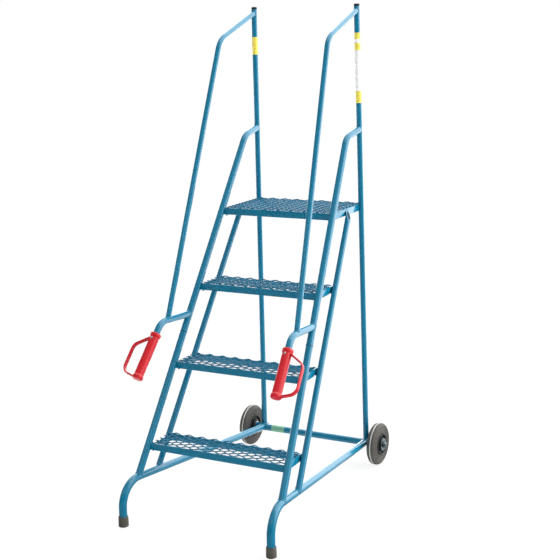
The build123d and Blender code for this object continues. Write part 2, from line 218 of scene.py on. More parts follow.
blue_paint = finish_material(
    "blue_powder_coat", BLUE,
    {"Broad Scale": 3.0, "Fine Scale": 45.0, "Amount": 0.16, "Rough Low": 0.14, "Rough High": 0.22},
    {"Scale": 420.0, "Fine Scale": 1800.0, "Height": 0.0003, "Strength": 0.1},
    Coat_Weight=0.4, Coat_Roughness=0.07, IOR=1.42)
deck_paint = finish_material(
    "blue_powder_coat_on_mesh", (0.002, 0.16, 0.28),
    {"Broad Scale": 4.0, "Fine Scale": 70.0, "Amount": 0.16, "Rough Low": 0.36, "Rough High": 0.48},
    {"Scale": 500.0, "Fine Scale": 2200.0, "Height": 0.0003, "Strength": 0.22},
    {"Worn Colour": (0.04, 0.26, 0.4, 1), "Scale": 80.0, "Edge": 0.4},
    Coat_Weight=0.1, Coat_Roughness=0.25, IOR=1.42)
# Dark blue coat colour used as painted shade, in open tube mouths and in the crease under the stile joint bead.
painted_bore_shade = finish_material(
    "blue_powder_coat_in_shadow", (0.001, 0.035, 0.06),
    {"Broad Scale": 12.0, "Fine Scale": 120.0, "Amount": 0.3, "Rough Low": 0.55, "Rough High": 0.75},
    {"Scale": 500.0, "Fine Scale": 2200.0, "Height": 0.0003, "Strength": 0.3}, Specular_IOR_Level=0.15)
red_plastic = finish_material(
    "red_moulded_plastic", (0.54, 0.004, 0.012),
    {"Broad Scale": 8.0, "Fine Scale": 90.0, "Amount": 0.12, "Rough Low": 0.26, "Rough High": 0.36},
    {"Scale": 900.0, "Fine Scale": 2600.0, "Height": 0.0002, "Strength": 0.22},
    {"Worn Colour": (0.68, 0.08, 0.08, 1), "Scale": 120.0, "Edge": 0.4},
    Subsurface_Weight=0.04, Subsurface_Scale=0.002, Specular_IOR_Level=0.45)
black_plastic = finish_material(
    "black_moulded_plastic", (0.008, 0.009, 0.011),
    {"Broad Scale": 9.0, "Fine Scale": 120.0, "Amount": 0.3, "Rough Low": 0.45, "Rough High": 0.6},
    {"Scale": 800.0, "Fine Scale": 2400.0, "Height": 0.0002, "Strength": 0.3},
    {"Worn Colour": (0.03, 0.03, 0.034, 1), "Scale": 120.0, "Edge": 0.3}, Specular_IOR_Level=0.3)
tyre_rubber = finish_material(
    "grey_tyre_rubber", (0.085, 0.08, 0.072),
    {"Broad Scale": 14.0, "Fine Scale": 170.0, "Amount": 0.5, "Rough Low": 0.62, "Rough High": 0.8},
    {"Scale": 350.0, "Fine Scale": 1500.0, "Height": 0.0006, "Strength": 0.4},
    {"Worn Colour": (0.2, 0.19, 0.175, 1), "Scale": 90.0, "Edge": 0.7}, Specular_IOR_Level=0.35)
# Pale colour on the tyre's raised seam: a painted highlight along the ridge.
seam_rubber_painted_highlight = finish_material(
    "tyre_seam_painted_highlight", (0.62, 0.62, 0.59),
    {"Broad Scale": 20.0, "Fine Scale": 200.0, "Amount": 0.3, "Rough Low": 0.6, "Rough High": 0.75},
    {"Scale": 400.0, "Fine Scale": 1500.0, "Height": 0.0004, "Strength": 0.3})
ferrule_rubber = finish_material(
    "grey_ferrule_rubber", (0.085, 0.08, 0.062),
    {"Broad Scale": 20.0, "Fine Scale": 160.0, "Amount": 0.4, "Rough Low": 0.5, "Rough High": 0.7},
    {"Scale": 600.0, "Fine Scale": 1800.0, "Height": 0.0004, "Strength": 0.35},
    {"Worn Colour": (0.16, 0.15, 0.13, 1), "Scale": 110.0, "Edge": 0.5})
zinc = finish_material(
    "bright_zinc_plate", ZINC_GREY,
    {"Broad Scale": 30.0, "Fine Scale": 260.0, "Amount": 0.3, "Rough Low": 0.22, "Rough High": 0.4},
    {"Scale": 700.0, "Fine Scale": 3000.0, "Height": 0.0001, "Strength": 0.25},
    {"Worn Colour": (0.72, 0.72, 0.7, 1), "Scale": 200.0, "Edge": 0.5}, Metallic=1.0)
# Passivated zinc for the washers, nuts and axle ends, darkened far below bright zinc: partly the blue passivation,
# partly painted shade.
nut_zinc_with_painted_shade = finish_material(
    "passivated_zinc_with_painted_shade", (0.1, 0.14, 0.15),
    {"Broad Scale": 30.0, "Fine Scale": 260.0, "Amount": 0.4, "Rough Low": 0.24, "Rough High": 0.42},
    {"Scale": 700.0, "Fine Scale": 3000.0, "Height": 0.0001, "Strength": 0.25},
    {"Worn Colour": (0.5, 0.52, 0.52, 1), "Scale": 200.0, "Edge": 0.7}, Metallic=1.0)
yellow_film = finish_material(
    "yellow_blank_film", (0.86, 0.72, 0.1),
    {"Broad Scale": 12.0, "Fine Scale": 90.0, "Amount": 0.2, "Rough Low": 0.3, "Rough High": 0.42},
    {"Scale": 300.0, "Fine Scale": 900.0, "Height": 0.0002, "Strength": 0.2})
white_film = finish_material(
    "white_blank_film", (0.9, 0.9, 0.88),
    {"Broad Scale": 12.0, "Fine Scale": 90.0, "Amount": 0.16, "Rough Low": 0.3, "Rough High": 0.42},
    {"Scale": 300.0, "Fine Scale": 900.0, "Height": 0.0002, "Strength": 0.2})
green_film = finish_material(
    "pale_green_blank_film", (0.19, 0.44, 0.29),
    {"Broad Scale": 12.0, "Fine Scale": 90.0, "Amount": 0.2, "Rough Low": 0.35, "Rough High": 0.45},
    {"Scale": 300.0, "Fine Scale": 900.0, "Height": 0.0002, "Strength": 0.2})

SLOT_FINISH = {"blue_paint": blue_paint, "red_plastic": red_plastic, "black_plastic": black_plastic,
               "tyre_rubber": tyre_rubber, "grey_rubber": ferrule_rubber, "bright_zinc": zinc}
slot_of_node = {row["node"]: row["material_slot"] for row in frame["record"]["subparts"]}
for node_name, node_object in nodes.items():
    node_object.data.materials.clear()
    node_object.data.materials.append(SLOT_FINISH[slot_of_node[node_name]])


# ---------------------------------------------------------------- shaping helpers
def piece(name, mesh_data, body, material, replaces=(), sharp=35.0):
    """Turns a finished bmesh into a piece that rides on a body."""
    bmesh.ops.recalc_face_normals(mesh_data, faces=mesh_data.faces)
    mesh = bpy.data.meshes.new(name)
    mesh_data.to_mesh(mesh)
    mesh_data.free()
    mesh.shade_smooth()
    mesh.set_sharp_from_angle(angle=math.radians(sharp))
    mesh.materials.append(material)
    made = bpy.data.objects.new(name, mesh)
    bpy.context.scene.collection.objects.link(made)
    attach(made, body)
    if replaces:
        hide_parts(*replaces)
    return made


def rounded(points, radius, steps=4):
    """The open outline with each inner corner eased by a short arc of that radius."""
    eased = [points[0]]
    for before, corner, after in zip(points, points[1:], points[2:]):
        a, c, b = Vector(before), Vector(corner), Vector(after)
        into, out = (a - c), (b - c)
        turn = math.pi - into.angle(out)
        if turn < 0.05:
            eased.append(tuple(c))
            continue
        reach = min(radius * math.tan(turn / 2), into.length * 0.45, out.length * 0.45)
        start, end = c + into.normalized() * reach, c + out.normalized() * reach
        for step in range(steps + 1):
            share = step / steps
            near = start.lerp(c, share)
            far = c.lerp(end, share)
            eased.append(tuple(near.lerp(far, share)))
    eased.append(points[-1])
    return eased


def turn_outline(bm, outline, steps, closed):
    """Adds the (radius, height) outline turned about Z. Points at radius 0 close on the axis."""
    verts = [bm.verts.new((r, 0, z)) for r, z in outline]
    edges = [bm.edges.new(pair) for pair in zip(verts, verts[1:])]
    if closed:
        edges.append(bm.edges.new((verts[-1], verts[0])))
    bmesh.ops.spin(bm, geom=verts + edges, cent=(0, 0, 0), axis=(0, 0, 1), dvec=(0, 0, 0),
                   angle=2 * math.pi, steps=steps, use_merge=True, use_duplicate=False)
    bmesh.ops.remove_doubles(bm, verts=bm.verts, dist=1e-6)


def stand_on(origin, axis):
    """Matrix that puts local Z along axis, with its origin there."""
    return Matrix.Translation(origin) @ Vector(axis).to_track_quat("Z", "Y").to_matrix().to_4x4()


def turned_piece(name, outline, origin, axis, body, material, replaces=(), steps=64, ease=0.6,
                 sharp=35.0, closed=False):
    """Turned piece from an outline in millimetres. A closed outline makes a ring."""
    bm = bmesh.new()
    scaled = [(r * MM, z * MM) for r, z in rounded(outline, ease)]
    turn_outline(bm, scaled, steps, closed)
    bmesh.ops.transform(bm, matrix=stand_on(origin, axis), verts=bm.verts)
    return piece(name, bm, body, material, replaces, sharp)


def sweep(bm, outline, stations, closed=False):
    """Carries a closed (x, y) outline through the station matrices by extruding it."""
    ring = [bm.verts.new(stations[0] @ Vector((x, y, 0))) for x, y in outline]
    edges = [bm.edges.new((ring[i], ring[(i + 1) % len(ring)])) for i in range(len(ring))]
    first = list(edges)
    for here, there in zip(stations, stations[1:]):
        made = bmesh.ops.extrude_edge_only(bm, edges=edges)["geom"]
        fresh = [g for g in made if isinstance(g, bmesh.types.BMVert)]
        edges = [g for g in made if isinstance(g, bmesh.types.BMEdge)
                 and all(v in set(fresh) for v in g.verts)]
        bmesh.ops.transform(bm, matrix=there @ here.inverted(), verts=fresh)
    if closed:
        bmesh.ops.bridge_loops(bm, edges=first + edges)
    else:
        bmesh.ops.edgeloop_fill(bm, edges=first)
        bmesh.ops.edgeloop_fill(bm, edges=edges)


def box_outline(width, height, ease):
    """Rounded rectangle of eight points about the origin."""
    a, b = width / 2, height / 2
    return [(a, -b + ease), (a, b - ease), (a - ease, b), (-a + ease, b),
            (-a, b - ease), (-a, -b + ease), (-a + ease, -b), (a - ease, -b)]


def circle_outline(radius, count=12):
    """Polygon of count points round the origin."""
    return [(radius * math.cos(2 * math.pi * i / count), radius * math.sin(2 * math.pi * i / count))
            for i in range(count)]


# ---------------------------------------------------------------- flat bars with eased edges
BAR_EASE = 0.9 * MM


def eased_bar(name, low, high, replaces=()):
    """Flat bar between two corners, with its edges rounded off."""
    bm = bmesh.new()
    bmesh.ops.create_cube(bm, size=1.0)
    middle = (Vector(low) + Vector(high)) / 2
    bmesh.ops.scale(bm, vec=Vector(high) - Vector(low), verts=bm.verts)
    bmesh.ops.translate(bm, vec=middle, verts=bm.verts)
    bmesh.ops.bevel(bm, geom=list(bm.edges), offset=BAR_EASE, segments=3, profile=0.5,
                    affect="EDGES", material=-1)
    return piece(name, bm, "frame", blue_paint, replaces)


# ---------------------------------------------------------------- expanded metal decks
LONG_PITCH = 53 * MM
ROW_PITCH = 13 * MM
STRAND_WIDTH = 6.4 * MM
STRAND_THICKNESS = 3.3 * MM
STRAND_TILT = math.radians(-30)
KNUCKLE_SHARE = 1.35
DECK_RISE = 3.4 * MM
FIRST_ROW = 10 * MM
MESH_PHASE = 34.3 * MM
STEPS_PER_WAVE = 16


def strand_wave(x, sign):
    """From -1 at a front knuckle to 1 at a rear one, flat along each knuckle."""
    turn = ((x - MESH_PHASE) / LONG_PITCH) % 1.0
    triangle = 4 * abs(turn - 0.5) - 1
    return sign * max(-1.0, min(1.0, KNUCKLE_SHARE * triangle))


def strand_row(x_from, x_to, sign):
    """One twisted strand of the expanded sheet along X, at y = 0 and z = 0."""
    bm = bmesh.new()
    swing = (ROW_PITCH - STRAND_WIDTH * math.cos(STRAND_TILT)) / 2
    lift = STRAND_WIDTH / 2 * math.sin(STRAND_TILT)
    step = LONG_PITCH / STEPS_PER_WAVE
    first = math.floor((x_from - MESH_PHASE) / step)
    last = math.ceil((x_to - MESH_PHASE) / step)
    tilt = Matrix.Rotation(STRAND_TILT, 4, "X")
    upright = Matrix(((0, 0, 1, 0), (1, 0, 0, 0), (0, 1, 0, 0), (0, 0, 0, 1)))
    stations = []
    for index in range(first, last + 1):
        x = MESH_PHASE + index * step
        wave = strand_wave(x, sign)
        stations.append(Matrix.Translation((x, swing * wave, -lift * wave)) @ tilt @ upright)
    sweep(bm, box_outline(STRAND_WIDTH, STRAND_THICKNESS, 0.7 * MM), stations)
    return bm


def expanded_deck(name, node):
    """Expanded metal over a deck's box: rows of strands, trimmed at the sides and the front."""
    low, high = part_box(node)
    bm = bmesh.new()
    row_y = low.y + FIRST_ROW - ROW_PITCH
    row = 1
    while row_y < high.y - 0.4 * ROW_PITCH:
        strand = strand_row(low.x, high.x, 1.0 if row % 2 == 0 else -1.0)
        bmesh.ops.translate(strand, vec=(0, row_y, low.z + DECK_RISE), verts=strand.verts)
        scratch = bpy.data.meshes.new("strand")
        strand.to_mesh(scratch)
        strand.free()
        bm.from_mesh(scratch)
        bpy.data.meshes.remove(scratch)
        row_y += ROW_PITCH
        row += 1
    for point, normal in (((low.x, 0, 0), (-1, 0, 0)), ((high.x, 0, 0), (1, 0, 0)),
                          ((0, low.y, 0), (0, -1, 0))):
        cut = bmesh.ops.bisect_plane(bm, geom=list(bm.verts) + list(bm.edges) + list(bm.faces), dist=1e-7,
                                     plane_co=point, plane_no=normal, clear_outer=True)["geom_cut"]
        rim = [g for g in cut if isinstance(g, bmesh.types.BMEdge) and g.is_valid]
        bmesh.ops.holes_fill(bm, edges=rim, sides=0)
    return piece(f"{name}_expanded_metal", bm, "frame", deck_paint, [node], sharp=40)


DECKS = ("bottom_tread", "middle_tread", "top_tread", "platform")
for deck_name in DECKS:
    expanded_deck(deck_name, f"{deck_name}_deck")
    for part_name in ("front_bar", "rear_bar"):
        bar_low, bar_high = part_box(f"{deck_name}_{part_name}")
        eased_bar(f"{deck_name}_{part_name}_eased", bar_low, bar_high, [f"{deck_name}_{part_name}"])
    side_low, side_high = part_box(f"{deck_name}_side_bars")
    bar_thickness = size(f"{deck_name}_rear_bar").y
    for word, sign in SIDES:
        outer, inner = sign * side_high.x, sign * (side_high.x - bar_thickness)
        bar_low = (min(outer, inner), side_low.y, side_low.z)
        bar_high = (max(outer, inner), side_high.y, side_high.z)
        eased_bar(f"{deck_name}_{word}_bar_eased", bar_low, bar_high, [f"{deck_name}_side_bars"])


# ---------------------------------------------------------------- grips
GRIP_VOXEL = 0.9 * MM
GRIP_SMOOTHING = 3
GRIP_SWELL = 0.35 * MM
SCREW_RADIUS = 4.0
SCREW_HEIGHT = 1.6
RELAX_FACTOR = 0.6


def softened_copy(name, node, body, material, voxel, passes):
    """Merged copy of a CAD node, remeshed and relaxed so that its walls run into each other smoothly."""
    bm = bmesh.new()
    bm.from_mesh(nodes[node].data)
    bmesh.ops.remove_doubles(bm, verts=bm.verts, dist=1e-6)
    rough = bpy.data.meshes.new(f"{name}_rough")
    bm.to_mesh(rough)
    bm.free()
    worked = bpy.data.objects.new(f"{name}_rough", rough)
    bpy.context.scene.collection.objects.link(worked)
    remesh = worked.modifiers.new("remesh", "REMESH")
    remesh.mode = "VOXEL"
    remesh.voxel_size = voxel
    relax = worked.modifiers.new("relax", "SMOOTH")
    relax.factor = RELAX_FACTOR
    relax.iterations = passes
    swell = worked.modifiers.new("swell", "DISPLACE")
    swell.strength = GRIP_SWELL
    swell.mid_level = 0.0
    settled = worked.evaluated_get(bpy.context.evaluated_depsgraph_get())
    smooth = bmesh.new()
    smooth.from_mesh(settled.to_mesh())
    settled.to_mesh_clear()
    bpy.data.objects.remove(worked)
    bpy.data.meshes.remove(rough)
    return piece(name, smooth, body, material, [node], sharp=60.0)


def screw_heads():
    """The dished head of the screw that fixes each grip, square to the grip where it sits."""
    for word, sign in SIDES:
        ring = [v.co for v in nodes["grip_screws"].data.vertices if v.co.x * sign > 0]
        middle = sum(ring, Vector()) / len(ring)
        grip_ends = [v.co for v in nodes[f"grip_{word}"].data.vertices]
        lowest = min(grip_ends, key=lambda co: co.z)
        highest = max(grip_ends, key=lambda co: co.z)
        along = (highest - lowest).normalized()
        outward = Vector((0, -along.z, along.y)).normalized()
        outline = [(0, 0.9), (1.1, 0.9), (1.4, 1.6), (2.4, 1.6), (SCREW_RADIUS, 0.6),
                   (SCREW_RADIUS, -0.6), (0, -0.6)]
        turned_piece(f"grip_screw_{word}", outline, middle - outward * SCREW_HEIGHT / 2 * MM, outward,
                     "frame", zinc, ["grip_screws"], steps=24, ease=0.3)


for word, sign in SIDES:
    softened_copy(f"grip_{word}_moulding", f"grip_{word}", "frame", red_plastic,
                  GRIP_VOXEL, GRIP_SMOOTHING)
screw_heads()

# ---------------------------------------------------------------- wheels
SEAM_HALF = 2.1
WALL_GROOVES = (47.0, 51.6, 57.0, 61.6, 66.6)
GROOVE_WIDTH = 1.5
GROOVE_DEPTH = 1.4
NUT_COLLAR_HEIGHT = 2.4
NUT_EASE = 0.9
THREAD_PITCH = 1.4
THREAD_DEPTH = 0.9


def mirrored_outline(half):
    """Closed outline from its half on one side of the wheel."""
    return half + [(r, -z) for r, z in reversed(half)]


def tyre_outline(radius, half_width):
    """Bead, side wall with shallow ring grooves, shoulder and rounded tread, up to the seam."""
    flat = half_width
    wall = [(42.6, flat - 5.0), (42.6, flat - 1.6), (44.2, flat - 0.4)]
    for groove in WALL_GROOVES:
        wall += [(groove - 0.5, flat), (groove, flat - GROOVE_DEPTH), (groove + GROOVE_WIDTH, flat - GROOVE_DEPTH),
                 (groove + GROOVE_WIDTH + 0.5, flat)]
    tread = [(radius - 8.4, flat - 0.3), (radius - 7.6, flat - 2.4), (radius - 6.4, flat - 2.9),
             (radius - 3.2, flat - 4.4), (radius - 1.4, flat - 7.0), (radius - 0.5, flat - 10.0),
             (radius - 0.4, SEAM_HALF + 2.2), (radius - 1.4, SEAM_HALF + 0.6), (radius - 1.4, SEAM_HALF - 0.4)]
    return mirrored_outline(wall + tread)


def hub_outline(half_width, bush):
    """Boss, dished web and bead flange of the hub, the same on both sides."""
    flange = half_width - 1.6
    half = [(bush, half_width), (22.6, half_width), (24.8, half_width - 2.0), (25.4, half_width - 9.5),
            (27.5, half_width - 10.6), (33.0, half_width - 10.6), (35.0, half_width - 9.0), (36.4, flange - 0.4),
            (37.6, flange), (40.0, flange), (41.6, flange - 1.2), (42.5, flange - 4.8), (42.5, flange - 8.0),
            (50.0, flange - 11.0)]
    return mirrored_outline(half)


def wheel(word, sign):
    """Tyre, its raised seam and the hub of one wheel."""
    body = f"{word}_wheel"
    middle = centre(f"tyre_{word}")
    outward = (sign, 0, 0)
    radius = size(f"tyre_{word}").z / 2 / MM
    half_tyre = size(f"tyre_{word}").x / 2 / MM
    half_hub = size(f"hub_{word}").x / 2 / MM
    bush = size(f"hub_bush_{word}").z / 2 / MM
    turned_piece(f"tyre_{word}_moulding", tyre_outline(radius, half_tyre), middle, outward, body,
                 tyre_rubber, [f"tyre_{word}"], steps=144, ease=0.7, closed=True)
    seam = [(radius - 2.2, -SEAM_HALF), (radius - 0.6, -SEAM_HALF), (radius, -1.0), (radius, 1.0),
            (radius - 0.6, SEAM_HALF), (radius - 2.2, SEAM_HALF)]
    # The raised seam ring, coloured pale as a painted highlight.
    turned_piece(f"tyre_{word}_seam", seam, middle, outward, body, seam_rubber_painted_highlight, (),
                 steps=144, ease=0.3, closed=True)
    turned_piece(f"hub_{word}_moulding", hub_outline(half_hub, bush), middle, outward, body,
                 black_plastic, [f"hub_{word}"], steps=96, ease=0.9, closed=True)


def wheel_fixings(word, sign):
    """Washer, locking nut and the threaded end of the axle on the outside of the wheel."""
    washer_low, washer_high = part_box("outer_washers")
    nut_low, nut_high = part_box("axle_nuts")
    middle = centre(f"axle_{word}")
    outward = Vector((sign, 0, 0))
    axle_radius = size(f"axle_{word}").z / 2 / MM
    washer_radius = (washer_high.z - washer_low.z) / 2 / MM
    washer_face = washer_high.x / MM
    hub_face = (centre(f"hub_{word}").x * sign + size(f"hub_{word}").x / 2) / MM
    washer = [(axle_radius, hub_face + 0.3), (washer_radius, hub_face + 0.3), (washer_radius, washer_face),
              (axle_radius, washer_face)]
    foot = Vector((0, middle.y, middle.z))
    turned_piece(f"outer_washer_{word}", washer, foot, outward, "frame", nut_zinc_with_painted_shade, ["outer_washers"],
                 steps=64, ease=0.8, closed=True)
    across = (nut_high.y - nut_low.y) / 2
    nut_face = nut_high.x
    body_top = nut_face - NUT_COLLAR_HEIGHT * MM
    bm = bmesh.new()
    bmesh.ops.create_circle(bm, cap_ends=True, radius=across / math.cos(math.pi / 6), segments=6)
    base_face = bm.faces[:]
    rise = bmesh.ops.extrude_face_region(bm, geom=base_face)["geom"]
    top = [g for g in rise if isinstance(g, bmesh.types.BMVert)]
    bmesh.ops.translate(bm, vec=(0, 0, body_top - washer_high.x), verts=top)
    bmesh.ops.bevel(bm, geom=[e for e in bm.edges if len(e.link_faces) == 2], offset=NUT_EASE * MM, segments=3,
                    profile=0.5, affect="EDGES", material=-1)
    bmesh.ops.transform(bm, matrix=stand_on(foot + outward * washer_high.x, outward), verts=bm.verts)
    piece(f"axle_nut_{word}", bm, "frame", nut_zinc_with_painted_shade, ["axle_nuts"])
    across_mm = across / MM
    collar = [(axle_radius - 0.4, body_top / MM - 0.5), (across_mm - 0.4, body_top / MM - 0.5),
              (across_mm - 0.6, nut_face / MM - 0.9), (across_mm - 2.0, nut_face / MM),
              (across_mm - 2.8, nut_face / MM - 0.7), (axle_radius - 0.4, nut_face / MM - 0.7)]
    turned_piece(f"axle_nut_collar_{word}", collar, foot, outward, "frame", nut_zinc_with_painted_shade, (), steps=48,
                 ease=0.5, closed=True)
    axle_end = (middle.x * sign + size(f"axle_{word}").x / 2) / MM
    axle_start = (middle.x * sign - size(f"axle_{word}").x / 2) / MM
    thread = []
    crest = axle_end - 1.2
    while crest > nut_face / MM - 4.0:
        thread += [(axle_radius - 0.05, crest), (axle_radius - THREAD_DEPTH, crest - THREAD_PITCH / 2)]
        crest -= THREAD_PITCH
    shank = [(0, axle_end), (axle_radius - 1.2, axle_end)] + thread
    shank += [(axle_radius - 0.05, crest), (axle_radius - 0.05, axle_start), (0, axle_start)]
    turned_piece(f"axle_{word}_shank", shank, foot, outward, "frame", nut_zinc_with_painted_shade, [f"axle_{word}"],
                 steps=40, ease=0.12)


for word, sign in SIDES:
    wheel(word, sign)
    wheel_fixings(word, sign)


# ---------------------------------------------------------------- feet and plugs
def ferrule(word):
    """Rubber ferrule on a front foot, open at the top, with a band near each end."""
    low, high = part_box(f"foot_ferrule_{word}")
    middle = (low + high) / 2
    radius = (high.x - low.x) / 2 / MM
    height = (high.z - low.z) / MM
    bore = radius - 3.5
    outline = [(0, 0), (radius - 2.2, 0), (radius - 0.2, 1.2), (radius, 2.6), (radius, 9.5), (radius - 0.7, 10.1),
               (radius - 0.7, 11.3), (radius - 0.1, 11.9), (radius - 0.3, height - 9.0), (radius - 0.9, height - 8.4),
               (radius - 0.9, height - 7.4), (radius - 0.4, height - 6.8), (radius - 0.5, height - 1.2),
               (radius - 1.6, height), (bore, height), (bore, 6.0), (0, 6.0)]
    turned_piece(f"foot_ferrule_{word}_moulding", outline, (middle.x, middle.y, low.z), (0, 0, 1), "frame",
                 ferrule_rubber, [f"foot_ferrule_{word}"], steps=96, ease=0.6)


def post_line(word, sign):
    """Foot and top of a rear post's centre line, and its radius, read from its box: it leans in as it rises."""
    low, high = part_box(f"rear_post_{word}")
    radius = (high.y - low.y) / 2
    outer, inner = (high.x, low.x) if sign > 0 else (low.x, high.x)
    y = (low.y + high.y) / 2
    return Vector((outer - sign * radius, y, low.z)), Vector((inner + sign * radius, y, high.z)), radius


def post_plug(word, sign):
    """Plug in a rear post's open top: its stem in the tube and its domed head above."""
    foot, top, radius = post_line(word, sign)
    r = radius / MM
    outline = [(0, -14.0), (r - 1.7, -14.0), (r - 1.7, 0.0), (r, 0.0), (r, 1.3), (r - 0.5, 1.8), (r - 0.5, 5.6),
               (r - 1.4, 7.4), (r - 4.2, 8.5), (0, 9.0)]
    turned_piece(f"post_plug_{word}_moulding", outline, top, top - foot, "frame", black_plastic,
                 [f"post_plug_{word}"], steps=64, ease=0.7)


for word, sign in SIDES:
    ferrule(word)
    post_plug(word, sign)

# ---------------------------------------------------------------- welds
BEAD_STEP = 1.1 * MM
RIPPLE_PITCH = 3.4 * MM
RIPPLE_DEPTH = 0.13
CONTACT_REACH = 0.5 * MM


def contact_rim(node, host):
    """Corners of the rim where a node's end meets its host, in order round the joint."""
    mesh = nodes[host].data
    tree = BVHTree.FromPolygons([v.co for v in mesh.vertices], [p.vertices[:] for p in mesh.polygons])
    touching = [v.co.copy() for v in nodes[node].data.vertices
                if tree.find_nearest(v.co, CONTACT_REACH)[0] is not None]
    if len(touching) < 3:
        return []
    middle = sum(touching, Vector()) / len(touching)
    farthest = max(touching, key=lambda co: (co - middle).length)
    u = (farthest - middle).normalized()
    side = max(touching, key=lambda co: (co - middle).cross(u).length)
    v = (side - middle)
    v = (v - u * v.dot(u)).normalized()
    flat = [((co - middle).dot(u), (co - middle).dot(v)) for co in touching]
    return [touching[i] for i in convex_hull_2d(flat)]


def weld_bead(name, node, host, radius):
    """Rippled bead round the rim where a node's end meets its host."""
    rim = contact_rim(node, host)
    if not rim:
        return
    middle = sum(rim, Vector()) / len(rim)
    lengths = [(b - a).length for a, b in zip(rim, rim[1:] + rim[:1])]
    count = max(12, int(sum(lengths) / BEAD_STEP))
    points = []
    for index in range(count):
        travelled = sum(lengths) * index / count
        corner = 0
        while travelled > lengths[corner]:
            travelled -= lengths[corner]
            corner += 1
        start, end = rim[corner], rim[(corner + 1) % len(rim)]
        points.append(start.lerp(end, travelled / max(lengths[corner], 1e-9)))
    for _ in range(2):
        points = [(points[i - 1] + 2 * points[i] + points[(i + 1) % count]) / 4 for i in range(count)]
    ripples = max(4, round(sum(lengths) / RIPPLE_PITCH))
    stations = []
    for index, point in enumerate(points):
        ahead = (points[(index + 1) % count] - points[index - 1]).normalized()
        out = point - middle
        out = (out - ahead * out.dot(ahead)).normalized()
        turn = Matrix((out, ahead.cross(out), ahead)).transposed().to_4x4()
        swell = radius * (1 + RIPPLE_DEPTH * math.sin(2 * math.pi * ripples * index / count))
        stations.append(Matrix.Translation(point) @ turn @ Matrix.Scale(swell, 4))
    bm = bmesh.new()
    sweep(bm, circle_outline(1.0, 8), stations, closed=True)
    piece(name, bm, "frame", blue_paint, sharp=70.0)


TUBE_BEAD = 2.4 * MM
BAR_BEAD = 1.7 * MM
TUBE_JOINTS = (("front_stile", "base_tube"), ("rear_stile", "base_tube"), ("rear_post", "base_tube"),
               ("front_stile", "rear_post"), ("handrail", "rear_post"), ("handrail", "handle_tube"),
               ("handle_tube", "front_stile"), ("axle_boss", "base_tube"))
BAR_JOINTS = (("bottom_tread", "front_bar", "front_stile"), ("bottom_tread", "rear_bar", "rear_stile"),
              ("middle_tread", "front_bar", "front_stile"), ("middle_tread", "rear_bar", "rear_stile"),
              ("top_tread", "front_bar", "front_stile"), ("top_tread", "rear_bar", "rear_stile"),
              ("platform", "front_bar", "front_stile"), ("platform", "rear_bar", "rear_post"))
for word, sign in SIDES:
    for end_name, host_name in TUBE_JOINTS:
        weld_bead(f"weld_{end_name}_to_{host_name}_{word}", f"{end_name}_{word}",
                  f"{host_name}_{word}", TUBE_BEAD)
    weld_bead(f"weld_cross_tube_{word}", "rear_cross_tube", f"base_tube_{word}", TUBE_BEAD)
    weld_bead(f"weld_rear_stile_tip_{word}", f"rear_stile_{word}", "platform_side_bars", BAR_BEAD)
    for deck_name, bar_name, host_name in BAR_JOINTS:
        weld_bead(f"weld_{deck_name}_{bar_name}_{word}", f"{deck_name}_{bar_name}",
                  f"{host_name}_{word}", BAR_BEAD)

# ---------------------------------------------------------------- butt joints in the front stiles
STILE_JOINT_HEIGHT = 0.602
JOINT_SPREAD = 0.03


def level_cut(node, z):
    """Middle and half width of a tube where a level plane cuts it."""
    mesh = nodes[node].data
    cut = []
    for edge in mesh.edges:
        a, b = (mesh.vertices[i].co for i in edge.vertices)
        if (a.z - z) * (b.z - z) < 0:
            cut.append(a.lerp(b, (z - a.z) / (b.z - a.z)))
    xs = [co.x for co in cut]
    ys = [co.y for co in cut]
    return Vector(((min(xs) + max(xs)) / 2, (min(ys) + max(ys)) / 2, z)), (max(xs) - min(xs)) / 2


for word, sign in SIDES:
    stile_low, half = level_cut(f"front_stile_{word}", STILE_JOINT_HEIGHT - JOINT_SPREAD)
    stile_high, _ = level_cut(f"front_stile_{word}", STILE_JOINT_HEIGHT + JOINT_SPREAD)
    r = half / MM
    bead = [(r - 1.0, -1.8), (r + 0.2, -1.6), (r + 0.9, -0.6), (r + 0.9, 0.6), (r + 0.2, 1.6), (r - 1.0, 1.8)]
    turned_piece(f"front_stile_joint_{word}", bead, (stile_low + stile_high) / 2, stile_high - stile_low, "frame",
                 blue_paint, (), steps=48, ease=0.3, closed=True)
    # Dark ring just below the bead in the coat's shaded colour: painted shade in the crease under the bead.
    shade_line = [(r - 1.0, -3.6), (r + 0.12, -3.4), (r + 0.12, -2.0), (r - 1.0, -1.8)]
    turned_piece(f"front_stile_joint_line_{word}", shade_line, (stile_low + stile_high) / 2,
                 stile_high - stile_low, "frame", painted_bore_shade, (), steps=48, ease=0.1, closed=True)

# ---------------------------------------------------------------- open ends of the rear stiles
BORE_SHARE = 0.74
BORE_DEPTH = 2.0 * MM
BORE_PROUD = 0.15 * MM


